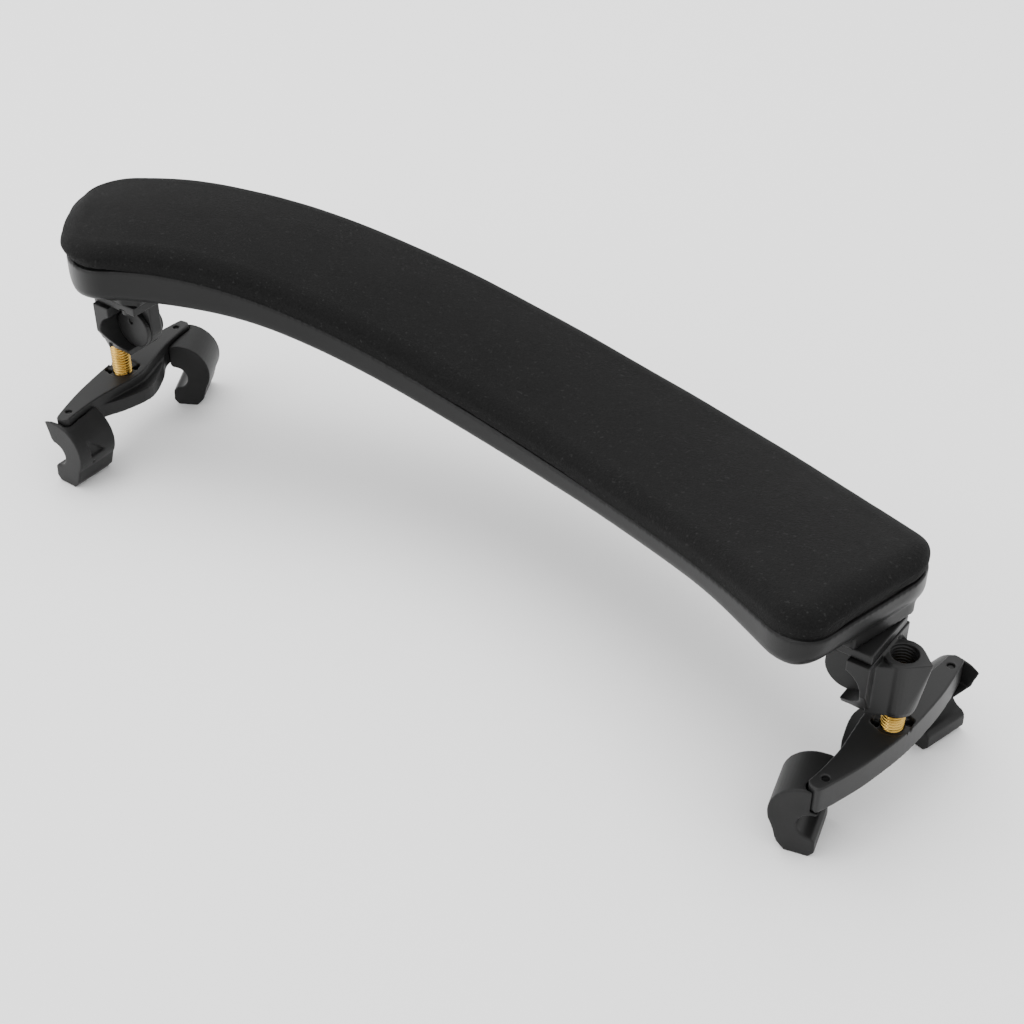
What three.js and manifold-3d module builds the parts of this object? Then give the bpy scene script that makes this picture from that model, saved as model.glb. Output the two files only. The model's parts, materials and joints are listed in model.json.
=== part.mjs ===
// Violin shoulder rest: a curved, padded bar on two folding feet.
// Each foot is a fork with two rubber claws that grip the edge of the violin.
// A brass screw carries the fork, so turning it sets the height, and the whole
// foot folds flat under the bar on a hinge.
//
// Millimetres, +Z up, +X along the bar, -Y the hollow side of its curve.
// The origin is on the plane that the claws stand on, under the middle of the
// object's box.

import * as THREE from 'three';
import { ConvexGeometry } from 'three/addons/geometries/ConvexGeometry.js';
import { mergeVertices } from 'three/addons/utils/BufferGeometryUtils.js';
import Module from 'manifold-3d';

const wasm = await Module();
wasm.setup();

// ---- driving dimensions -----------------------------------------------------
const DEG = Math.PI / 180;
const GAP = 0.3;                       // between pieces that rest on each other
const RUNNING = 0.05;                  // radial clearance of a turning fit
const PAST = 1;                        // how far a cut runs past a face

// Bar: its centreline in plan is y = -BOW (x/100)^2, and its rim is as high as
// RISE says, in powers of x/100. WALL is the tray's depth at places along it.
const BAR_LEFT = -112.5;
const BAR_RIGHT = 119;
const BAR_WIDTH = 41;
const CORNERS = { left: 13, right: 9 }; // corner radii of the bar's ends in plan
const SLANT = { left: 5, right: 11 };  // how far each end face leans, across the bar
const SLANT_RUN = 40;                  // the slant dies away over this length
const BOW = 26.5;
const RISE = [2.1, -16.5, 15.5, 11.0, -6.5];
const WALL = [[-115, 9], [-82, 9], [-58, 7.4], [0, 7], [50, 5.8], [92, 5.8], [108, 7.4], [120, 7.4]];
const EDGE = 2.4;                      // rounding under the tray's long sides
const END_EDGE = 4.5;                  // and under its ends
const RIM = 0.9;                       // width of the rim round the pad
const SEAT_DEPTH = 2;                  // how deep the pad sits in the tray
const PAD_RISE = 6;                    // pad above the rim
const PAD_CROWN = 0.8;
const POCKETS = [[-62, -32], [-28, 2], [6, 36], [40, 66]];
const POCKET_HALF = 13;
const POCKET_ROOF = 4.2;               // roof of a pocket below the rim

// Feet: where the height screw stands, how far the fork is turned on it in plan,
// and the height of the seat that the bracket is screwed to.
const FEET = {
  left: { side: -1, x: -98.6, y: -32, fan: 7.6, seat: 7.0 },
  right: { side: 1, x: 124.5, y: -32, fan: 7.6, seat: 0.9 },
};
const DISH_LEVEL = -21.9;              // dish in both forks' tops, below the rim's middle

// Hinge, in a foot's own axes: +X outwards and +Y away from the screw, and
// heights from the pivot.
const PIVOT_X = -10.2;
const SEAT = 10.8;                     // the bracket's seat under the tray
const BASE = { x0: -17, x1: -3.4, half: 8, thick: 2.2 };
const BASE_TOP = SEAT - GAP;
const BASE_UNDER = BASE_TOP - BASE.thick;
const SCREW_X = -13;                   // bracket screws
const SCREW_ROWS = { near: -5.2, far: 5.2 };
const SCREW_HEAD = BASE_UNDER + 0.6;   // what the bracket screws' heads bear on
const LUG_RADIUS = 5.3;
const LUG_HALF = 1.8;                  // half the lug's width
const PIN_RADIUS = 1.7;
const PIN_HEAD = 1.3;
const CHEEK = 1.5;                     // thickness of the block's cheek

// Block: a wall that stops under the bracket, a cradle that wraps the lug from
// outboard to below, and the threaded boss for the height screw.
const WALL_X = { inboard: -8.3, outboard: -3.2 };
const WALL_TOP = BASE_UNDER - GAP;
const WALL_HALF = 9;
const CRADLE = { inner: LUG_RADIUS + GAP, outer: 7.4, end: -88 * DEG };
const BOSS_TOP = 7.6;
const BOSS_BOTTOM = -7.4;
const BOSS_RADIUS = 4.3;
const BOSS_NOSE = 6.3;                 // the boss comes to a corner outboard at its top

// Screw and fork, heights from the dish round the screw.
const SCREW_RADIUS = 2.5;
const SCREW_TOP = 15.5;
const SCREW_SOCKET = 4.5;              // how deep the screw stands in the fork
const FORK_TOP = 0.7;
const FORK_UNDER = -6;
const FORK_HALF = 26.3;                // half the fork's length
const FLANGE_TOP = -2.2;               // the fork's inner edge steps down to this
const DISH_RADIUS = 4.1;
const SLOT = { from: 19.7, to: 24.6, low: -4.3, high: -1.7, end: 0.4 };
const CLAW_PIN = { x: -0.5, span: 22.6, radius: 0.8, low: -5.4, high: 0.1 };
const CLAW_HALF = 6;                   // half the claw's length along the fork
const CLAW_CENTRE = 21.5;
const CLAW_TURN = { near: 22, far: -8 }; // how far each claw is turned on the fork
const CLAW_SET = { near: -3.5, far: -0.5 }; // and how far it is set inwards
const SOLE = -19;                      // what the claws stand on

// ---- solids -----------------------------------------------------------------
const solidOf = (positions, triangles) => new wasm.Manifold(new wasm.Mesh({
  numProp: 3,
  vertProperties: new Float32Array(positions),
  triVerts: new Uint32Array(triangles),
}));

const solid = (geometry) => {
  const bare = geometry.clone();
  bare.deleteAttribute('normal');
  bare.deleteAttribute('uv');
  const merged = mergeVertices(bare, 1e-5);
  return solidOf(merged.attributes.position.array, merged.index.array);
};

const geometryOf = (body) => {
  const mesh = body.getMesh();
  const geometry = new THREE.BufferGeometry();
  geometry.setAttribute('position', new THREE.BufferAttribute(mesh.vertProperties, 3));
  geometry.setIndex(new THREE.BufferAttribute(mesh.triVerts, 1));
  return geometry;
};

// A solid moved by a matrix, with its faces kept outwards if that mirrors it.
const moved = (body, matrix) => {
  const geometry = geometryOf(body).applyMatrix4(matrix);
  if (matrix.determinant() < 0) {
    geometry.index.array.reverse();
  }
  return solidOf(geometry.attributes.position.array, geometry.index.array);
};

const box = (x0, x1, y0, y1, z0, z1) => solid(new THREE.BoxGeometry(x1 - x0, y1 - y0, z1 - z0)
  .translate((x0 + x1) / 2, (y0 + y1) / 2, (z0 + z1) / 2));

// A round bar along Z from z0 to z1.
const rod = (radius, z0, z1, x = 0, y = 0, sides = 24) => solid(
  new THREE.CylinderGeometry(radius, radius, z1 - z0, sides).rotateX(Math.PI / 2)
    .translate(x, y, (z0 + z1) / 2));

// A round bar along Y from y0 to y1.
const crossRod = (radius, y0, y1, x = PIVOT_X, z = 0, sides = 32) => solid(
  new THREE.CylinderGeometry(radius, radius, y1 - y0, sides).translate(x, (y0 + y1) / 2, z));

// An outline in X and Y, extruded from z0 to z1.
const slab = (shape, z0, z1, steps = 8) => solid(
  new THREE.ExtrudeGeometry(shape, { depth: z1 - z0, bevelEnabled: false, curveSegments: steps })
    .translate(0, 0, z0));

// An outline in X and Z, extruded from y0 to y1.
const profile = (shape, y0, y1, steps = 8) => solid(
  new THREE.ExtrudeGeometry(shape, { depth: y1 - y0, bevelEnabled: false, curveSegments: steps })
    .rotateX(Math.PI / 2).translate(0, y1, 0));

const vectors = (points) => points.map(([x, y]) => new THREE.Vector2(x, y));
const outline = (points) => new THREE.Shape(vectors(points));

// Joins a row of equal rings of points into one closed body.
const loft = (rings) => {
  const count = rings[0].length;
  const triangles = [];
  for (let i = 0; i + 1 < rings.length; i++) {
    for (let j = 0; j < count; j++) {
      const a = i * count + j;
      const b = i * count + (j + 1) % count;
      triangles.push(a, a + count, b, b, a + count, b + count);
    }
  }
  const last = (rings.length - 1) * count;
  for (let j = 1; j + 1 < count; j++) {
    triangles.push(0, j, j + 1, last, last + j + 1, last + j);
  }
  return solidOf(rings.flat().flatMap((p) => p.toArray()), triangles);
};

const placed = (body, { side, x, y }) => moved(body,
  new THREE.Matrix4().makeTranslation(x, y, 0).scale(new THREE.Vector3(side, 1, 1)));

// Makes a solid in a foot's own axes left or right handed.
const handed = (body, { side }) => (
  side > 0 ? body : moved(body, new THREE.Matrix4().makeScale(-1, 1, 1)));

// ---- bar ----------------------------------------------------------------------
const between = (table, x) => {
  const i = Math.max(1, table.findIndex(([at]) => at >= x));
  const [[x0, v0], [x1, v1]] = [table[i - 1], table[i]];
  return v0 + (v1 - v0) * THREE.MathUtils.clamp((x - x0) / (x1 - x0), 0, 1);
};

const rimHeight = (x) => RISE.reduce((sum, k, power) => sum + k * (x / 100) ** power, 0);

// A point on the bar: at along it, across it towards +Y, and above its rim.
const onBar = (at, across, above) => {
  const fade = (toEnd) => THREE.MathUtils.clamp(1 - toEnd / SLANT_RUN, 0, 1) ** 2;
  const side = across / BAR_WIDTH;
  const level = at + SLANT.left * fade(at - BAR_LEFT) * (0.5 - side);
  const x = level - SLANT.right * fade(BAR_RIGHT - at) * side;
  const lean = 2 * BOW * x / 1e4;
  const length = Math.hypot(1, lean);
  return new THREE.Vector3(
    x + across * lean / length,
    -BOW * (x / 100) ** 2 + across / length,
    rimHeight(level) + above);
};

// Stations along the bar between two ends, close together at the round corners.
const stations = (from, to, steps, inset) => {
  const near = [0, 0.08, 0.25, 0.5, 1];
  const [first, last] = [from + CORNERS.left - inset, to - CORNERS.right + inset];
  const inner = [];
  for (let i = 1; i < steps; i++) {
    inner.push(first + (last - first) * i / steps);
  }
  return [...near.map((t) => from + t * (first - from)), ...inner,
    ...near.reverse().map((t) => to - t * (to - last))];
};

// Half the bar's width at x, for a bar inset all round.
const halfWidth = (x, from, to, inset) => {
  const [toEnd, corner] = x - from < to - x ? [x - from, CORNERS.left] : [to - x, CORNERS.right];
  const radius = corner - inset;
  const short = Math.max(0, radius - toEnd);
  return BAR_WIDTH / 2 - inset - (radius - Math.sqrt(radius ** 2 - short ** 2));
};

// Sweeps a section along the bar; ring gives [across, above] points for each station.
const barLoft = (inset, steps, ring) => {
  const [from, to] = [BAR_LEFT + inset, BAR_RIGHT - inset];
  return loft(stations(from, to, steps, inset).map((x) => {
    const half = halfWidth(x, from, to, inset);
    const toEnd = Math.min(x - from, to - x);
    return ring(x, half, toEnd).map(([across, above]) => onBar(x, across, above));
  }));
};

const slice = (half, low, high) => [[-half, high], [half, high], [half, low], [-half, low]];

const trayShell = () => barLoft(0, 28, (x, half, toEnd) => {
  const lift = END_EDGE - Math.sqrt(END_EDGE ** 2 - Math.max(0, END_EDGE - toEnd) ** 2);
  const floor = lift - between(WALL, x);
  const [soft, sharp] = [EDGE, EDGE * 0.3];
  return [[-half, 0], [half, 0], [half, floor + soft], [half - sharp, floor + sharp],
    [half - soft, floor], [-half + soft, floor], [-half + sharp, floor + sharp],
    [-half, floor + soft]];
});

// A shallow pocket under the tray, between two ribs.
const pocket = ([from, to]) => {
  const rings = [];
  for (let i = 0; i <= 6; i++) {
    const x = from + (to - from) * i / 6;
    rings.push(slice(POCKET_HALF, -between(WALL, x) - PAST, -POCKET_ROOF)
      .map(([across, above]) => onBar(x, across, above)));
  }
  return loft(rings);
};

const tray = () => {
  const padSeat = barLoft(RIM, 28, (x, half) => slice(half, -SEAT_DEPTH, 3));
  const inside = barLoft(0.6, 28, (x, half) => slice(half, -20, -SEAT_DEPTH - 0.4));
  let body = trayShell().subtract(padSeat);
  for (const foot of Object.values(FEET)) {
    const { x0, x1, half } = BASE;
    const room = 1.2;
    const seat = box(x0 - 1, x1 + 1, -half - 1, half + 1, foot.seat, foot.seat + 4);
    const under = box(x0 - room, x1 + 8, -half - room, half + room, foot.seat - 12, foot.seat);
    body = body.add(placed(seat, foot).intersect(inside)).subtract(placed(under, foot));
    for (const across of Object.values(SCREW_ROWS)) {
      body = body.subtract(placed(
        rod(0.9, foot.seat - PAST, foot.seat + 2.6, SCREW_X, across, 16), foot));
    }
  }
  for (const span of POCKETS) {
    body = body.subtract(pocket(span));
  }
  return body;
};

const pad = () => barLoft(RIM + GAP, 24, (x, half, toEnd) => {
  const top = PAD_RISE - 2.2 * (toEnd === 0);
  return [[-half, top - 2.4], [-half + 1, top - 0.9], [-half + 3.4, top], [0, top + PAD_CROWN],
    [half - 3.4, top], [half - 1, top - 0.9], [half, top - 2.4],
    [half, -SEAT_DEPTH + GAP], [-half, -SEAT_DEPTH + GAP]];
});

// ---- hinge, heights from the pivot --------------------------------------------
const bracket = () => {
  const plate = box(BASE.x0, BASE.x1, -BASE.half, BASE.half, BASE_UNDER, BASE_TOP);
  const neck = box(PIVOT_X - LUG_RADIUS, PIVOT_X + LUG_RADIUS, -LUG_HALF, LUG_HALF,
    0, BASE_UNDER + 1);
  const shelf = box(PIVOT_X + 0.3, PIVOT_X + LUG_RADIUS, -LUG_HALF - PIN_HEAD, LUG_HALF,
    LUG_RADIUS + GAP, BASE_UNDER + 1);
  let body = plate.add(neck).add(shelf)
    .add(crossRod(LUG_RADIUS, -LUG_HALF, LUG_HALF))
    .subtract(crossRod(PIN_RADIUS + RUNNING, -LUG_HALF - PAST, LUG_HALF + PAST))
    .subtract(crossRod(3.6, LUG_HALF - 0.6, LUG_HALF + PAST));
  for (const across of Object.values(SCREW_ROWS)) {
    body = body.subtract(rod(1.5, BASE_UNDER - PAST, BASE_TOP + PAST, SCREW_X, across))
      .subtract(rod(2.9, BASE_UNDER - PAST, SCREW_HEAD, SCREW_X, across));
  }
  return body;
};

const bracketScrew = (across) => {
  const head = SCREW_HEAD - GAP;
  const driver = box(-1.5, 1.5, -0.35, 0.35, head - 2, head - 0.7);
  return rod(2.5, head - 1.3, head, SCREW_X, across)
    .add(rod(1.2, head - 0.5, SEAT - 0.15, SCREW_X, across, 16))
    .add(rod(0.75, head, SEAT + 2.2, SCREW_X, across, 16))
    .subtract(moved(driver, new THREE.Matrix4().makeTranslation(SCREW_X, across, 0)));
};

const washer = () => crossRod(3.4, LUG_HALF - 0.5, LUG_HALF - 0.05)
  .subtract(crossRod(PIN_RADIUS + 0.2, LUG_HALF - 1, LUG_HALF + PAST));

// The pin's head covers the lug's near face, and a dimple marks its middle.
const hingePin = () => crossRod(PIN_RADIUS, -LUG_HALF - 0.5, LUG_HALF + CHEEK)
  .add(crossRod(LUG_RADIUS - 0.1, -LUG_HALF - PIN_HEAD - 0.1, -LUG_HALF - 0.1))
  .subtract(crossRod(0.7, -LUG_HALF - 3, -LUG_HALF - 0.7, PIVOT_X + 0.6, 1.9, 12));

// The wall and cradle, seen along the pivot.
const cradleShape = () => {
  const shape = new THREE.Shape();
  const top = Math.acos((WALL_X.inboard - PIVOT_X) / CRADLE.inner);
  shape.moveTo(WALL_X.outboard, WALL_TOP);
  shape.lineTo(WALL_X.inboard, WALL_TOP);
  shape.absarc(PIVOT_X, 0, CRADLE.inner, top, CRADLE.end, true);
  shape.absarc(PIVOT_X, 0, CRADLE.outer, CRADLE.end, -75 * DEG, false);
  shape.lineTo(WALL_X.outboard - 1, BOSS_BOTTOM + 0.2);
  shape.lineTo(WALL_X.outboard, BOSS_BOTTOM + 2.6);
  return shape;
};

// The wall seen from inboard: full width at the top, narrower below the pivot.
const endTaper = () => solid(new THREE.ExtrudeGeometry(outline([
  [-WALL_HALF, SEAT], [-WALL_HALF, 0], [-4.2, BOSS_BOTTOM - PAST], [4.2, BOSS_BOTTOM - PAST],
  [WALL_HALF, 0], [WALL_HALF, SEAT]]), { depth: 40, bevelEnabled: false })
  .rotateX(Math.PI / 2).rotateZ(Math.PI / 2).translate(-30, 0, 0));

// The boss is round at its foot and comes to a corner outboard at its top.
const boss = () => {
  const points = [new THREE.Vector3(BOSS_NOSE, 0, BOSS_TOP), new THREE.Vector3(BOSS_NOSE - 1, 0, 4)];
  for (const [radius, z] of [[BOSS_RADIUS - 1.2, BOSS_BOTTOM], [BOSS_RADIUS - 0.3, BOSS_BOTTOM + 0.8],
    [BOSS_RADIUS, BOSS_BOTTOM + 2], [BOSS_RADIUS, BOSS_TOP]]) {
    for (let i = 0; i < 32; i++) {
      const angle = i * Math.PI / 16;
      points.push(new THREE.Vector3(radius * Math.cos(angle), radius * Math.sin(angle), z));
    }
  }
  return solid(new ConvexGeometry(points));
};

const swivelBlock = () => {
  const nearFace = -LUG_HALF - PIN_HEAD - 0.4;
  const farFace = LUG_HALF + 0.1;
  const cheek = crossRod(LUG_RADIUS - 1, farFace, farFace + CHEEK)
    .add(box(PIVOT_X, WALL_X.outboard - 1, farFace, farFace + CHEEK, -4.2, 1.5));
  const web = slab(outline([[-4, -6.4], [0, -BOSS_RADIUS], [0, BOSS_RADIUS], [-4, 6.4]]),
    BOSS_BOTTOM + 1, BOSS_TOP - 1);
  return profile(cradleShape(), -WALL_HALF, WALL_HALF, 14).intersect(endTaper())
    .add(boss()).add(web).add(cheek)
    .subtract(box(PIVOT_X - 8, PIVOT_X + CRADLE.inner, nearFace, farFace, 0, SEAT + PAST))
    .subtract(crossRod(PIN_RADIUS + RUNNING, 0, farFace + CHEEK + PAST))
    .subtract(rod(SCREW_RADIUS + RUNNING, BOSS_BOTTOM - PAST, BOSS_TOP + PAST, 0, 0, 32))
    .subtract(rod(SCREW_RADIUS + 0.4, BOSS_TOP - 0.5, BOSS_TOP + PAST, 0, 0, 32));
};

// ---- screw, fork and claws, heights from the dish in the fork -------------------
const heightScrew = () => {
  const [bottom, chamfer] = [-SCREW_SOCKET + GAP, 0.5];
  const half = vectors([[0, bottom], [SCREW_RADIUS, bottom], [SCREW_RADIUS, SCREW_TOP - chamfer],
    [SCREW_RADIUS - chamfer, SCREW_TOP], [0, SCREW_TOP]]);
  return solid(new THREE.LatheGeometry(half, 32).rotateX(Math.PI / 2));
};

// The fork in plan: a bow outside, and a waist that swells to `middle` inside.
const forkPlan = (waist, middle, grow = 0) => {
  const [inside, outside, tip] = [-2.7 - grow, 0.9 + grow, FORK_HALF + grow];
  const shape = new THREE.Shape();
  shape.moveTo(inside, -tip + 1);
  shape.splineThru(vectors([[inside, -21], [-3.2 - grow, -14], [waist, -8], [middle, 0],
    [waist, 8], [-3.2 - grow, 14], [inside, 21], [inside, tip - 1]]));
  shape.lineTo(inside + 1, tip);
  shape.lineTo(outside - 0.8, tip);
  shape.splineThru(vectors([[outside, tip - 1], [2.5 + grow, 18], [3.5 + grow, 11], [4.2 + grow, 0],
    [3.5 + grow, -11], [2.5 + grow, -18], [outside, -tip + 1], [outside - 0.8, -tip]]));
  shape.lineTo(inside + 1, -tip);
  return shape;
};

// A box on one end of the fork, between two distances from the screw.
const endBox = (end, x0, x1, from, to, z0, z1) => box(
  x0, x1, Math.min(end * from, end * to), Math.max(end * from, end * to), z0, z1);

const fork = () => {
  const { x, span, radius } = CLAW_PIN;
  let body = slab(forkPlan(-4.4, -5.8), FORK_UNDER, FORK_TOP, 5)
    .add(slab(forkPlan(-6.4, -8.8), FORK_UNDER, FLANGE_TOP, 5))
    .subtract(rod(SCREW_RADIUS + RUNNING, -SCREW_SOCKET, PAST, 0, 0, 32))
    .subtract(rod(DISH_RADIUS, 0, FORK_TOP + PAST, 0, 0, 32));
  for (const end of [-1, 1]) {
    body = body
      .subtract(endBox(end, -12, SLOT.end, SLOT.from, SLOT.to, SLOT.low, SLOT.high))
      .subtract(rod(radius + 0.1, FORK_UNDER - PAST, FORK_TOP + PAST, x, end * span, 12))
      .subtract(rod(1, -1.6, FORK_TOP + PAST, end * 2.6, end * 2.5, 12));
  }
  return body;
};

// The claw seen along the fork: a thick hook with its mouth outwards.
const clawShape = () => {
  const shape = new THREE.Shape();
  shape.moveTo(1.9, -7.1);
  shape.lineTo(2.7, -6.2);
  shape.lineTo(3.2, -4.2);
  shape.absarc(0.3, -8.6, 8.2, 62 * DEG, 212 * DEG, false);
  shape.lineTo(-5.4, -17);
  shape.lineTo(-3.6, SOLE);
  shape.lineTo(1.7, SOLE);
  shape.lineTo(2.8, -17.6);
  shape.lineTo(2.6, -14.6);
  shape.absarc(1.7, -10.4, 3.3, -90 * DEG, 90 * DEG, true);
  return shape;
};

// end is 1 for the far claw and -1 for the near one, on the right foot.
const claw = (end) => {
  const where = end > 0 ? 'far' : 'near';
  const turn = new THREE.Matrix4().makeTranslation(CLAW_SET[where], end * CLAW_CENTRE, 0)
    .multiply(new THREE.Matrix4().makeRotationZ(CLAW_TURN[where] * DEG));
  const under = FORK_UNDER - GAP;
  const tongue = endBox(end, -4, 0.1, SLOT.from + GAP * 2, SLOT.to - GAP, SLOT.low + GAP, SLOT.high - GAP);
  return moved(profile(clawShape(), -CLAW_HALF, CLAW_HALF, 10), turn)
    .subtract(slab(forkPlan(-6.4, -8.8, GAP), under, PAST, 5))
    .subtract(endBox(end, -0.5, 12, 0, FORK_HALF + GAP, under, PAST))
    .add(tongue)
    .subtract(rod(CLAW_PIN.radius + 0.1, under, PAST, CLAW_PIN.x, end * CLAW_PIN.span, 12));
};

const clawPin = (end) => rod(
  CLAW_PIN.radius, CLAW_PIN.low, CLAW_PIN.high, CLAW_PIN.x, end * CLAW_PIN.span, 12);

// ---- assembly -------------------------------------------------------------------
const LOOKS = {
  plastic: { color: 0x1d1c1e, roughness: 0.42, metalness: 0 },
  rubber: { color: 0x201f20, roughness: 0.6, metalness: 0 },
  foam: { color: 0x121213, roughness: 0.95, metalness: 0 },
  brass: { color: 0xc9a24a, roughness: 0.3, metalness: 1 },
  steel: { color: 0x303032, roughness: 0.4, metalness: 1 },
};

const piece = (name, body, look) => {
  const mesh = new THREE.Mesh(geometryOf(body), new THREE.MeshStandardMaterial(LOOKS[look]));
  mesh.name = name;
  return mesh;
};

const makeHinge = (name, foot) => {
  const group = new THREE.Group();
  group.position.z = foot.seat - SEAT;
  const add = (part, body, look) => group.add(piece(`${name}_${part}`, handed(body, foot), look));
  add('hinge_bracket', bracket(), 'plastic');
  for (const [row, across] of Object.entries(SCREW_ROWS)) {
    add(`bracket_screw_${row}`, bracketScrew(across), 'steel');
  }
  add('hinge_washer', washer(), 'steel');
  add('hinge_pin', hingePin(), 'plastic');
  add('swivel_block', swivelBlock(), 'plastic');
  return group;
};

// Both feet are the same, so the left one is turned round, not mirrored.
const makeFork = (name, { side, fan }) => {
  const group = new THREE.Group();
  group.position.z = DISH_LEVEL;
  group.rotation.z = -side * fan * DEG + (side > 0 ? 0 : Math.PI);
  group.add(piece(`${name}_fork`, fork(), 'plastic'));
  group.add(piece(`${name}_height_screw`, heightScrew(), 'brass'));
  for (const [where, end] of [['near', -side], ['far', side]]) {
    group.add(piece(`${name}_${where}_claw`, claw(end), 'rubber'));
    group.add(piece(`${name}_${where}_claw_pin`, clawPin(end), 'steel'));
  }
  return group;
};

const bar = new THREE.Group();
bar.add(piece('tray', tray(), 'plastic'), piece('foam_pad', pad(), 'foam'));
for (const [name, foot] of Object.entries(FEET)) {
  const group = new THREE.Group();
  group.position.set(foot.x, foot.y, 0);
  group.add(makeHinge(name, foot), makeFork(name, foot));
  bar.add(group);
}

const shoulderRest = new THREE.Group();
shoulderRest.add(bar);
shoulderRest.updateMatrixWorld(true);
const bounds = new THREE.Box3().setFromObject(bar, true);
const middle = bounds.getCenter(new THREE.Vector3());
bar.position.set(-middle.x, -middle.y, -bounds.min.z);

export default shoulderRest;
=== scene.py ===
"""Violin shoulder rest: the looks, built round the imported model, in metres."""

import json
import math

import bpy
from mathutils import Matrix, Vector, noise


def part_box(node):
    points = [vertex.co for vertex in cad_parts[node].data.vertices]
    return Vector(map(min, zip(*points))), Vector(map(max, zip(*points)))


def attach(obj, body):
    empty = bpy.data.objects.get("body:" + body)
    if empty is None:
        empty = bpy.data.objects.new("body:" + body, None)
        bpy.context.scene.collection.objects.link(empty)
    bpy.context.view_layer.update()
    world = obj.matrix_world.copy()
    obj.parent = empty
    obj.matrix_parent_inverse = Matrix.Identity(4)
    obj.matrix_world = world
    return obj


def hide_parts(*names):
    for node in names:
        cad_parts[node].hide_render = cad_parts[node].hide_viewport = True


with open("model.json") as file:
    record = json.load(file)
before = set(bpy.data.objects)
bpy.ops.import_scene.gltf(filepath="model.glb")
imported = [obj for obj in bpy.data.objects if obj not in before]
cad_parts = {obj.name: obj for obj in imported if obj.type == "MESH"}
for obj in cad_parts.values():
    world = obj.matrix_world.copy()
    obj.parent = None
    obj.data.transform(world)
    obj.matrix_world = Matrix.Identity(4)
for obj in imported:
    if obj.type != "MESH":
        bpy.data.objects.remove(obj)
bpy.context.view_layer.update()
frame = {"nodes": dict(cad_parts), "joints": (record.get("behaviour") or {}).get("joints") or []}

MM = 0.001
SIDES = {"left": -1, "right": 1}              # each foot's direction along X
JOINTS = {joint["name"]: joint for joint in frame["joints"]}

# ---- driving dimensions, in millimetres --------------------------------------
BAR_LEFT, BAR_RIGHT = -112.5, 119.0
BAR_WIDTH = 41.0
CORNER_LEFT, CORNER_RIGHT = 13.0, 9.0
CURVE_UNIT = 100.0                           # BOW and RISE are stated for this much of the bar
BOW = 26.5
SLANT_LEFT, SLANT_RIGHT = 5.0, 11.0          # how far each end face leans, across the bar
SLANT_RUN = 40.0
RISE = (2.1, -16.5, 15.5, 11.0, -6.5)        # the rim's height, as a polynomial
WALL = ((-115, 9), (-82, 9), (-58, 7.4), (0, 7), (50, 5.8), (92, 5.8), (108, 7.4), (120, 7.4))
EDGE, END_EDGE = 2.4, 4.5                    # rounding under the tray, at its sides and ends
RIM = 0.9
SEAT_DEPTH = 2.0
PAD_RISE, PAD_CROWN = 6.0, 0.8
PAD_ROUND = (4.5, 3.2)                       # how far in and down the pad's top edge is rounded
PAD_GAP = 0.3
PAD_OVERHANG = 0.85                          # how far the pad's sides stand out over the rim
PAD_SWELL, PAD_END_SWELL = 0.05, 1.4         # how much more halfway up, and at the left end
PAD_END, PAD_END_RUN = -80.0, 25.0           # where the left end's swell starts, and its run
FOAM_LUMPS = ((22.0, 0.1), (6.0, 0.04))      # size and height of the foam's unevenness
POCKETS = ((-62, -32), (-28, 2), (6, 36), (40, 66))
POCKET_HALF, POCKET_TOP = 13.0, -4.2
SEAT_CUT_TOP = 3.0
BELOW_BAR = -20.0                            # lower than any part of the bar
BRACKET_GAP = 0.3
LAND_MARGIN, LAND_HEIGHT = 1.0, 4.0          # the raised lands under the tray
LAND_INSET, LAND_BELOW_SEAT = 0.6, 0.4
ROOM_MARGIN, ROOM_OUT, ROOM_DEPTH = 1.2, 8.0, 12.0
LEFT_SCREW = Vector((-98.6, -32.0, -21.9))   # in the bar's own axes
THREAD_PITCH, THREAD_DEPTH = 0.8, 0.42
ROD_RADIUS, HOLE_RADIUS = 2.48, 2.95
ROD_CHAMFER = 0.45
BOSS_HEIGHT, HOLE_THREAD = 15.4, 6.0         # boss top over the block's foot; length of thread
FAN = 7.6                                    # degrees that each fork is turned in plan
CLAW_CENTRE = 21.5
CLAW_TURN = {"near": 22.0, "far": -8.0}      # degrees
CLAW_SET = {"near": -3.5, "far": -0.5}
CLAW_BACK = (-11.0, -6.9)                    # span of the cutters for the hollows in a claw
HOLLOW_TRIANGLE = ((-2.6, -4.6), (2.4, -9.6), (-2.2, -9.8))
HOLLOW_SLOT = ((-2.0, -11.2), (-1.2, -11.2), (-0.6, -15.6), (-1.5, -15.6))
DIMPLE_CENTRE, DIMPLE_RADIUS = (1.2, -12.4), 0.75
MOULDING = {                                 # remesh size, and passes that soften the edges
    "tray": (0.42, 3),
    "bracket": (0.2, 5),
    "block": (0.16, 4),
    "hinge_pin": (0.16, 3),
    "fork": (0.2, 9),
    "claw": (0.2, 16),
    "screw": (0.12, 2),
}

# ---- camera and floor ------------------------------------------------------------
VIEW_AZIMUTH, VIEW_ELEVATION = 35.95, 38.2   # degrees
VIEW_TARGET = Vector((36.0, -43.5, 0.0))     # millimetres, in the bar's own axes
VIEW_DISTANCE = 396                          # millimetres
LENS, SENSOR = 64.1, 36.0
FLOOR_HALF = 6.0                             # metres
WORLD_LIGHT = 1.6

# The bar's own origin, worked back from the left height screw's place.
BAR_ORIGIN = Vector(JOINTS["left_turn"]["pos_m"]) - LEFT_SCREW * MM


# ---- mesh helpers --------------------------------------------------------------
def add_object(name, points, faces):
    mesh = bpy.data.meshes.new(name)
    mesh.from_pydata([tuple(p) for p in points], [], faces)
    mesh.validate()
    obj = bpy.data.objects.new(name, mesh)
    bpy.context.scene.collection.objects.link(obj)
    return obj


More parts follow.
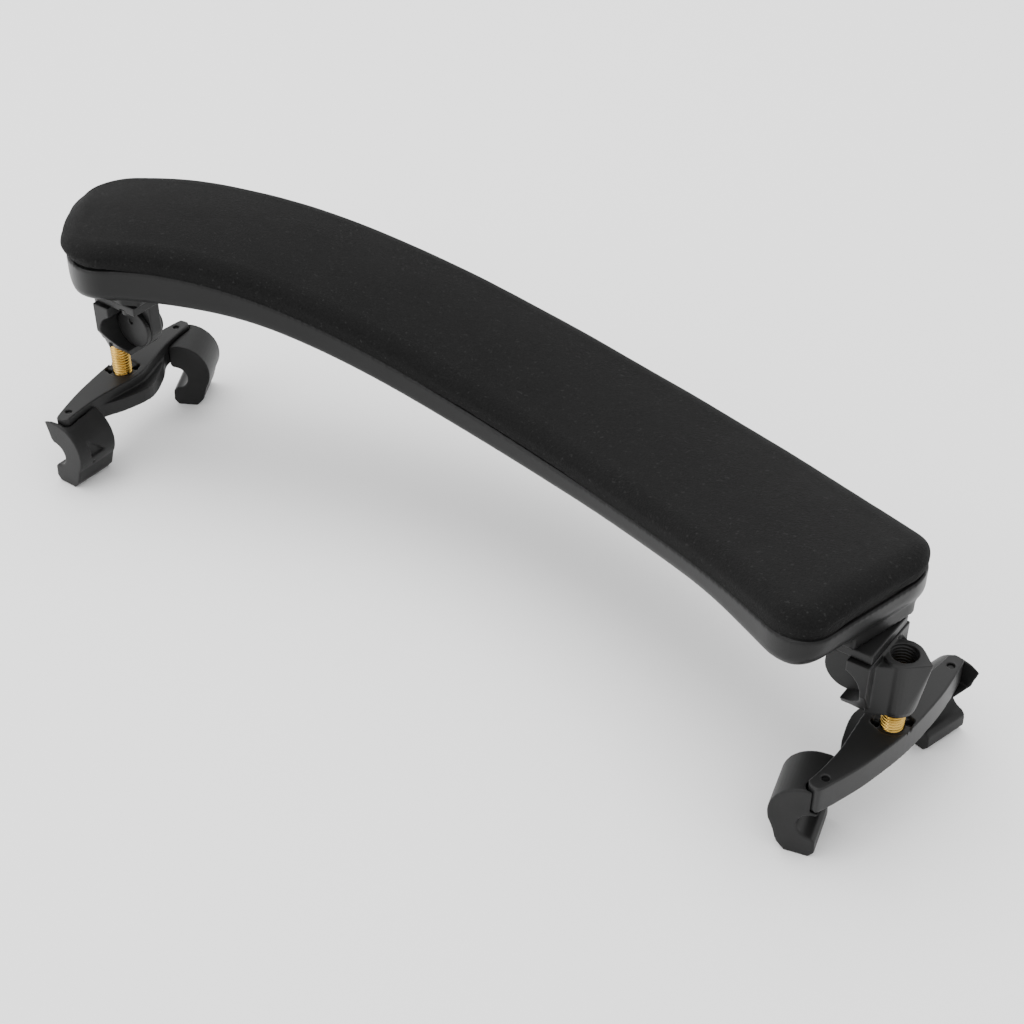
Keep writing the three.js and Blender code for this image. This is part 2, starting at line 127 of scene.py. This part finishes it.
def loft(name, rings):
    """Joins equal rings of points into one closed body."""
    count = len(rings[0])
    faces = []
    for i in range(len(rings) - 1):
        for j in range(count):
            a = i * count + j
            b = i * count + (j + 1) % count
            faces.append((a, b, b + count, a + count))
    last = (len(rings) - 1) * count
    faces.append(tuple(reversed(range(count))))
    faces.append(tuple(range(last, last + count)))
    return add_object(name, [p for ring in rings for p in ring], faces)


def box_between(name, x0, x1, y0, y1, z0, z1):
    corners = ((x0, y0), (x1, y0), (x1, y1), (x0, y1))
    return loft(name, [[Vector((x, y, z)) for x, y in corners] for z in (z0, z1)])


def settle(obj):
    """Applies the object's modifiers to its mesh."""
    graph = bpy.context.evaluated_depsgraph_get()
    obj.data = bpy.data.meshes.new_from_object(obj.evaluated_get(graph))
    obj.modifiers.clear()
    return obj


def combine(obj, tools, operation):
    """Joins or cuts the object with each tool, and removes the tools."""
    for tool in tools:
        step = obj.modifiers.new("join", "BOOLEAN")
        step.operation = operation
        step.object = tool
        step.solver = "EXACT"
        settle(obj)
        bpy.data.objects.remove(tool)
    return obj


def mould(obj, kind):
    """Gives a solid the soft edges of a moulding."""
    voxel, passes = MOULDING[kind]
    remesh = obj.modifiers.new("remesh", "REMESH")
    remesh.mode = "VOXEL"
    remesh.voxel_size = voxel * MM
    smooth = obj.modifiers.new("soften", "SMOOTH")
    smooth.factor = 0.5
    smooth.iterations = passes
    settle(obj)
    obj.data.shade_smooth()
    return obj


def copy_of(node, name):
    """A new object with a copy of the CAD node's mesh."""
    obj = bpy.data.objects.new(name, frame["nodes"][node].data.copy())
    obj.data.materials.clear()
    bpy.context.scene.collection.objects.link(obj)
    return obj


def set_material(obj, material):
    obj.data.materials.clear()
    obj.data.materials.append(material)


def finish_piece(obj, body, material, node):
    set_material(obj, material)
    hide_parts(node)
    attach(obj, body)
    return obj


# ---- materials -----------------------------------------------------------------
class Nodes:
    """A material's node tree, with the calls that the materials here share."""

    def __init__(self, name):
        self.material = bpy.data.materials.new(name)
        self.material.use_nodes = True
        self.tree = self.material.node_tree
        self.shader = self.tree.nodes["Principled BSDF"]
        self.place = self.tree.nodes.new("ShaderNodeTexCoord").outputs["Object"]

    def link(self, source, target):
        self.tree.links.new(source, target)

    def noise(self, size, detail=2.0, roughness=0.5):
        """Noise with features about size millimetres across."""
        node = self.tree.nodes.new("ShaderNodeTexNoise")
        node.inputs["Scale"].default_value = 1 / (size * MM)
        node.inputs["Detail"].default_value = detail
        node.inputs["Roughness"].default_value = roughness
        self.link(self.place, node.inputs["Vector"])
        return node.outputs["Fac"]

    def ramp(self, source, stops):
        """Colours for a value, from (value, colour) stops."""
        node = self.tree.nodes.new("ShaderNodeValToRGB")
        elements = node.color_ramp.elements
        while len(elements) < len(stops):
            elements.new(0.5)
        for element, (at, color) in zip(elements, stops):
            element.position = at
            element.color = (*color, 1)
        self.link(source, node.inputs["Fac"])
        return node.outputs["Color"]

    def range(self, source, low, high):
        """The value, stretched to run from low to high."""
        node = self.tree.nodes.new("ShaderNodeMapRange")
        node.inputs["To Min"].default_value = low
        node.inputs["To Max"].default_value = high
        self.link(source, node.inputs["Value"])
        return node.outputs["Result"]

    def bump(self, source, height, under=None):
        """A bump of height millimetres, over another bump if there is one."""
        node = self.tree.nodes.new("ShaderNodeBump")
        node.inputs["Distance"].default_value = height * MM
        self.link(source, node.inputs["Height"])
        if under is not None:
            self.link(under, node.inputs["Normal"])
        return node.outputs["Normal"]


def grey(value):
    return (value, value, value)


def satin_plastic(name, tone, low, high, shine):
    """Black moulded plastic: a faint grain, and roughness that varies from low to high."""
    nodes = Nodes(name)
    nodes.shader.inputs["Specular IOR Level"].default_value = shine
    broad, grain = nodes.noise(18, 3), nodes.noise(0.35, 1)
    nodes.link(nodes.ramp(broad, [(0.3, grey(tone)), (0.7, grey(tone * 1.25))]),
               nodes.shader.inputs["Base Color"])
    nodes.link(nodes.range(broad, low, high), nodes.shader.inputs["Roughness"])
    nodes.link(nodes.bump(grain, 0.012, nodes.bump(broad, 0.05)), nodes.shader.inputs["Normal"])
    return nodes.material


def soft_rubber():
    """Matt black rubber with a fine grain."""
    nodes = Nodes("black_rubber")
    broad, grain = nodes.noise(7, 3), nodes.noise(0.25, 2)
    nodes.link(nodes.ramp(broad, [(0.3, grey(0.0055)), (0.7, grey(0.009))]),
               nodes.shader.inputs["Base Color"])
    nodes.link(nodes.range(grain, 0.38, 0.52), nodes.shader.inputs["Roughness"])
    nodes.shader.inputs["Specular IOR Level"].default_value = 0.2
    nodes.link(nodes.bump(grain, 0.02), nodes.shader.inputs["Normal"])
    return nodes.material


def napped_foam():
    """Charcoal foam with a short nap: fine fibres, faint pale specks, soft sheen."""
    nodes = Nodes("charcoal_foam")
    patches, nap, specks = nodes.noise(14, 4, 0.6), nodes.noise(0.45, 4, 0.7), nodes.noise(0.8, 1)
    base = nodes.ramp(nap, [(0.3, grey(0.003)), (0.75, grey(0.0085))])
    pale = nodes.ramp(specks, [(0.66, grey(0.0)), (0.76, grey(0.01))])
    mix = nodes.tree.nodes.new("ShaderNodeMix")
    mix.data_type = "RGBA"
    mix.blend_type = "ADD"
    mix.inputs["Factor"].default_value = 1.0
    nodes.link(base, mix.inputs["A"])
    nodes.link(pale, mix.inputs["B"])
    nodes.link(mix.outputs["Result"], nodes.shader.inputs["Base Color"])
    nodes.link(nodes.range(patches, 0.85, 1.0), nodes.shader.inputs["Roughness"])
    nodes.shader.inputs["Sheen Weight"].default_value = 0.02
    nodes.shader.inputs["Sheen Roughness"].default_value = 0.5
    nodes.shader.inputs["Specular IOR Level"].default_value = 0.1
    nodes.link(nodes.bump(nap, 0.22, nodes.bump(patches, 0.2)), nodes.shader.inputs["Normal"])
    return nodes.material


def metal(name, dark, light, roughness):
    """Metal whose colour varies a little, with a fine grain in its gloss."""
    nodes = Nodes(name)
    broad, grain = nodes.noise(3, 3), nodes.noise(0.15, 2)
    nodes.link(nodes.ramp(broad, [(0.3, dark), (0.7, light)]), nodes.shader.inputs["Base Color"])
    nodes.shader.inputs["Metallic"].default_value = 1.0
    nodes.link(nodes.range(grain, roughness * 0.8, roughness * 1.3), nodes.shader.inputs["Roughness"])
    nodes.link(nodes.bump(grain, 0.006), nodes.shader.inputs["Normal"])
    return nodes.material


TRAY_PLASTIC = satin_plastic("tray_plastic", tone=0.006, low=0.32, high=0.42, shine=0.17)
FOOT_PLASTIC = satin_plastic("foot_plastic", tone=0.0085, low=0.36, high=0.48, shine=0.24)
RUBBER = soft_rubber()
FOAM = napped_foam()
BRASS = metal("brass", dark=(0.42, 0.25, 0.045), light=(0.62, 0.4, 0.1), roughness=0.24)
STEEL = metal("blackened_steel", dark=grey(0.02), light=grey(0.045), roughness=0.38)


# ---- bar: lengths in millimetres, except in the brackets' boxes -------------------
def between(table, x):
    """The table's value at x, on straight lines between its rows."""
    for (x0, v0), (x1, v1) in zip(table, table[1:]):
        if x <= x1:
            return v0 + (v1 - v0) * (x - x0) / (x1 - x0)
    return table[-1][1]


def eased_wall(x):
    """The wall's depth, with the corners of its table rounded off."""
    return sum(between(WALL, x + step) for step in (-6, -3, 0, 3, 6)) / 5


def rim_height(x):
    return sum(k * (x / CURVE_UNIT) ** power for power, k in enumerate(RISE))


def slant_fade(to_end):
    """How much of an end face's lean is left at a distance from that end."""
    return max(0.0, min(1.0, 1 - to_end / SLANT_RUN)) ** 2


def on_bar(at, across, above):
    """The place of a point given along the bar, across it and above its rim."""
    side = across / BAR_WIDTH
    level = at + SLANT_LEFT * slant_fade(at - BAR_LEFT) * (0.5 - side)
    x = level - SLANT_RIGHT * slant_fade(BAR_RIGHT - at) * side
    lean = 2 * BOW * x / CURVE_UNIT ** 2
    length = math.hypot(1, lean)
    y = across / length - BOW * (x / CURVE_UNIT) ** 2
    point = Vector((x + across * lean / length, y, rim_height(level) + above))
    return BAR_ORIGIN + point * MM


def quarter(radius, distance):
    """How far a round edge has fallen back at a distance from its end."""
    return radius - math.sqrt(radius ** 2 - max(0.0, radius - distance) ** 2)


def bar_loft(name, inset, section, steps=110):
    """Sweeps section(x, half, to_end) along the bar, inset all round."""
    start, end = BAR_LEFT + inset, BAR_RIGHT - inset
    left, right = CORNER_LEFT - inset, CORNER_RIGHT - inset
    turns = [1 - math.cos(math.radians(a)) for a in range(0, 90, 6)]
    inner = [start + left + (end - start - left - right) * i / steps for i in range(steps + 1)]
    rings = []
    for x in [start + left * t for t in turns] + inner + [end - right * t for t in reversed(turns)]:
        near_left = x - start < end - x
        to_end = x - start if near_left else end - x
        half = BAR_WIDTH / 2 - inset - quarter(left if near_left else right, to_end)
        rings.append([on_bar(x, *point) for point in section(x, half, to_end)])
    return loft(name, rings)


def tray_section(x, half, to_end):
    """The tray's outside, rounded below by a quarter circle on each side and end."""
    lift = quarter(END_EDGE, to_end)
    floor = lift - eased_wall(x)
    turns = [math.radians(15 * i) for i in range(7)]
    right = [(half - EDGE * (1 - math.cos(t)), floor + EDGE * (1 - math.sin(t))) for t in turns]
    left = [(-across, above) for across, above in reversed(right)]
    return [(-half, 0), (half, 0), *right, *left]


def box_section(half, top, bottom):
    return ((-half, top), (half, top), (half, bottom), (-half, bottom))


def make_pocket(start, end, steps=12):
    """Cutter for one of the pockets under the tray, which follow the bar's curve."""
    corners = box_section(POCKET_HALF, POCKET_TOP, BELOW_BAR)
    stations = [start + (end - start) * i / steps for i in range(steps + 1)]
    return loft("pocket", [[on_bar(x, *corner) for corner in corners] for x in stations])


def bracket_room(side):
    """The flat seat that the bracket lies on, cut into the underside of the tray."""
    low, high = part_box(f"{side}_hinge_bracket")
    top = high.z + BRACKET_GAP * MM
    margin = Vector((ROOM_MARGIN, ROOM_MARGIN, 0)) * MM
    low = low - margin
    high = high + margin
    if side == "left":
        low.x -= ROOM_OUT * MM
    else:
        high.x += ROOM_OUT * MM
    return box_between("room", low.x, high.x, low.y, high.y, top - ROOM_DEPTH * MM, top)


def bracket_land(side):
    """The raised land under the tray that the bracket is screwed to."""
    low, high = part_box(f"{side}_hinge_bracket")
    land = high.z + BRACKET_GAP * MM
    margin = LAND_MARGIN * MM
    inside = bar_loft("inside", LAND_INSET, lambda x, half, to_end: box_section(
        half, -SEAT_DEPTH - LAND_BELOW_SEAT, BELOW_BAR))
    block = box_between("land", low.x - margin, high.x + margin, low.y - margin, high.y + margin,
                        land, land + LAND_HEIGHT * MM)
    return combine(block, [inside], "INTERSECT")


def make_tray():
    """The tray, with the pad's seat above, and pockets and the brackets' seats below."""
    seat = bar_loft("seat", RIM, lambda x, half, to_end: box_section(
        half, SEAT_CUT_TOP, -SEAT_DEPTH))
    pockets = [make_pocket(start, end) for start, end in POCKETS]
    rooms = [bracket_room(side) for side in SIDES]
    tray = bar_loft("tray_shell", 0, tray_section)
    combine(tray, [seat, *pockets], "DIFFERENCE")
    combine(tray, [bracket_land(side) for side in SIDES], "UNION")
    combine(tray, rooms, "DIFFERENCE")
    mould(tray, "tray")
    return finish_piece(tray, "bar", TRAY_PLASTIC, "tray")


def pad_section(x, half, to_end):
    """Upright sides, a softly rounded edge, and a top that rises to the middle."""
    round_in, round_down = PAD_ROUND
    drop = quarter(round_in, to_end) * round_down / round_in
    shoulder = PAD_RISE - round_down
    side = [(half, above) for above in (-SEAT_DEPTH + PAD_GAP, -0.1, 0.1, 0.5, 1.1, 1.8)]
    turns = [math.radians(10 * i) for i in range(10)]
    edge = [(half - round_in * (1 - math.cos(t)), shoulder + (round_down - drop) * math.sin(t))
            for t in turns]
    flat = edge[-1][0]
    top = [(flat * t, PAD_RISE - drop + PAD_CROWN * (1 - t * t)) for t in (0.8, 0.6, 0.4, 0.2)]
    right = side + edge + top
    middle = (0.0, PAD_RISE - drop + PAD_CROWN)
    left = [(-across, above) for across, above in reversed(right)]
    return [*right, middle, *left]


def overhang(x, above):
    """How far the foam's side stands out over the rim, in millimetres."""
    if above < 0.05:
        return 0.0
    swell = math.sin(math.pi * min(1.0, above / PAD_RISE))
    thick_end = max(0.0, min(1.0, (PAD_END - x) / PAD_END_RUN))
    return PAD_OVERHANG + (PAD_SWELL + PAD_END_SWELL * thick_end) * swell


def make_pad():
    """The foam: its sides swell over the rim, and its surface isn't quite even."""
    pad = bar_loft("pad", RIM + PAD_GAP, pad_section, 150)
    subdivide = pad.modifiers.new("fine", "SUBSURF")
    subdivide.subdivision_type = "SIMPLE"
    subdivide.levels = 1
    settle(pad)
    vertices = pad.data.vertices
    moves = []
    for vertex in vertices:
        place = (vertex.co - BAR_ORIGIN) / MM
        outward = Vector((vertex.normal.x, vertex.normal.y, 0.0))
        stand_out = overhang(place.x, place.z - rim_height(place.x))
        uneven = sum(noise.noise(place / size) * height for size, height in FOAM_LUMPS)
        moves.append(outward * stand_out + vertex.normal * uneven)
    for vertex, move in zip(vertices, moves):
        vertex.co += move * MM
    smooth = pad.modifiers.new("soften", "SMOOTH")
    smooth.iterations = 2
    settle(pad)
    pad.data.shade_smooth()
    finish_piece(pad, "bar", FOAM, "foam_pad")
    return pad


# ---- feet --------------------------------------------------------------------------
def make_thread(name, centre, radius, low, high):
    """A threaded rod on a vertical axis; all in millimetres but centre."""
    around, levels = 48, 10     # points round the rod, and rows in one turn of the thread
    flank = 2.6                 # how steep the thread's sides are
    rows = int((high - low) / THREAD_PITCH * levels)
    rings = []
    for i in range(rows + 1):
        z = low + (high - low) * i / rows
        ring = []
        for j in range(around):
            angle = 2 * math.pi * j / around
            phase = (z / THREAD_PITCH - j / around) % 1
            crest = min(1.0, flank * min(phase, 1 - phase))
            chamfer = max(0.0, ROD_CHAMFER - (high - z)) * 0.8
            r = radius - THREAD_DEPTH * (1 - crest) - chamfer
            ring.append(centre + Vector((r * math.cos(angle), r * math.sin(angle), z)) * MM)
        rings.append(ring)
    return loft(name, rings)


def make_screw(side):
    low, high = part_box(f"{side}_height_screw")
    centre = (low + high) / 2
    half = (high.z - low.z) / MM / 2
    screw = make_thread(f"{side}_threaded_screw", centre, ROD_RADIUS, -half, half)
    screw.data.shade_smooth()
    return finish_piece(screw, f"{side}_lift", BRASS, f"{side}_height_screw")


def make_moulded(node, kind, body, material, cuts=()):
    """A soft-edged copy of the CAD node, less the cuts, that stands for the node."""
    piece = copy_of(node, f"{node}_shape")
    combine(piece, cuts, "DIFFERENCE")
    mould(piece, kind)
    return finish_piece(piece, body, material, node)


def hole_thread(side):
    """Cutter for the thread's grooves in the block's hole, above the end of the screw."""
    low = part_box(f"{side}_swivel_block")[0]
    screw_low, screw_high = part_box(f"{side}_height_screw")
    centre = (screw_low + screw_high) / 2
    top = (low.z + BOSS_HEIGHT * MM - centre.z) / MM
    return make_thread("hole_thread", centre, HOLE_RADIUS, top - HOLE_THREAD, top)


def claw_place(side, where):
    """The claw's own axes: X outwards, Y along it, heights from the dish round the screw.

    The left foot is the right one turned round, so its near claw is the far kind.
    """
    sign = SIDES[side]
    kind = where if sign > 0 else {"near": "far", "far": "near"}[where]
    turned = -sign * math.radians(FAN) + (0 if sign > 0 else math.pi)
    along = CLAW_CENTRE if kind == "far" else -CLAW_CENTRE
    return (Matrix.Translation(JOINTS[f"{side}_turn"]["pos_m"])
            @ Matrix.Rotation(turned, 4, "Z")
            @ Matrix.Translation(Vector((CLAW_SET[kind], along, 0)) * MM)
            @ Matrix.Rotation(math.radians(CLAW_TURN[kind]), 4, "Z"))


def claw_pockets(side, where):
    """Cutters for the moulded hollows in the claw's back: a triangle, a dimple and a slot."""
    place = claw_place(side, where)
    end = SIDES[side] if where == "near" else -SIDES[side]
    turns = [math.radians(30 * i) for i in range(12)]
    dimple = [(DIMPLE_CENTRE[0] + DIMPLE_RADIUS * math.cos(t),
               DIMPLE_CENTRE[1] + DIMPLE_RADIUS * math.sin(t)) for t in turns]
    cutters = []
    for shape in (HOLLOW_TRIANGLE, dimple, HOLLOW_SLOT):
        rings = [[place @ (Vector((x, end * u, z)) * MM) for u, z in shape] for x in CLAW_BACK]
        cutters.append(loft("hollow", rings))
    return cutters


def make_foot(side):
    swivel, foot = f"{side}_swivel", f"{side}_foot"
    make_screw(side)
    make_moulded(f"{side}_hinge_bracket", "bracket", "bar", FOOT_PLASTIC)
    make_moulded(f"{side}_swivel_block", "block", swivel, FOOT_PLASTIC, [hole_thread(side)])
    make_moulded(f"{side}_hinge_pin", "hinge_pin", swivel, FOOT_PLASTIC)
    make_moulded(f"{side}_fork", "fork", foot, FOOT_PLASTIC)
    for where in ("near", "far"):
        pockets = claw_pockets(side, where)
        make_moulded(f"{side}_{where}_claw", "claw", foot, RUBBER, pockets)
        make_moulded(f"{side}_bracket_screw_{where}", "screw", "bar", STEEL)
        set_material(frame["nodes"][f"{side}_{where}_claw_pin"], STEEL)
    set_material(frame["nodes"][f"{side}_hinge_washer"], STEEL)


# ---- studio ------------------------------------------------------------------------
def make_floor():
    corners = [(x * FLOOR_HALF, y * FLOOR_HALF, 0) for x, y in ((-1, -1), (1, -1), (1, 1), (-1, 1))]
    floor = add_object("floor", corners, [(0, 1, 2, 3)])
    nodes = Nodes("pale_floor")
    nodes.shader.inputs["Base Color"].default_value = (0.93, 0.93, 0.93, 1)
    nodes.shader.inputs["Roughness"].default_value = 0.9
    floor.data.materials.append(nodes.material)


def add_softbox(name, place, size, power):
    """A soft rectangular light that faces the object; metres and watts."""
    target = Vector((0, 0, 0.03))
    light = bpy.data.lights.new(name, "AREA")
    light.shape = "RECTANGLE"
    light.size, light.size_y = size
    light.energy = power
    lamp = bpy.data.objects.new(name, light)
    lamp.location = place
    lamp.rotation_euler = (target - Vector(place)).to_track_quat("-Z", "Y").to_euler()
    bpy.context.scene.collection.objects.link(lamp)


def make_studio():
    world = bpy.data.worlds.new("studio")
    world.use_nodes = True
    background = world.node_tree.nodes["Background"]
    background.inputs["Color"].default_value = (1, 1, 1, 1)
    background.inputs["Strength"].default_value = WORLD_LIGHT
    bpy.context.scene.world = world
    make_floor()
    add_softbox("front", (-0.55, -0.8, 0.5), (0.9, 0.5), 4)
    add_softbox("top", (-0.3, 0.2, 1.0), (1.0, 0.7), 9)


def make_camera():
    azimuth, elevation = math.radians(VIEW_AZIMUTH), math.radians(VIEW_ELEVATION)
    back = Vector((math.sin(azimuth) * math.cos(elevation),
                   -math.cos(azimuth) * math.cos(elevation), math.sin(elevation)))
    target = BAR_ORIGIN + VIEW_TARGET * MM
    data = bpy.data.cameras.new("camera")
    data.lens = LENS
    data.sensor_width = SENSOR
    data.clip_start = 0.01
    camera = bpy.data.objects.new("camera", data)
    camera.location = target + back * VIEW_DISTANCE * MM
    camera.rotation_euler = (-back).to_track_quat("-Z", "Y").to_euler()
    bpy.context.scene.collection.objects.link(camera)
    bpy.context.scene.camera = camera


make_camera()
make_studio()
make_tray()
make_pad()
for side_name in SIDES:
    make_foot(side_name)
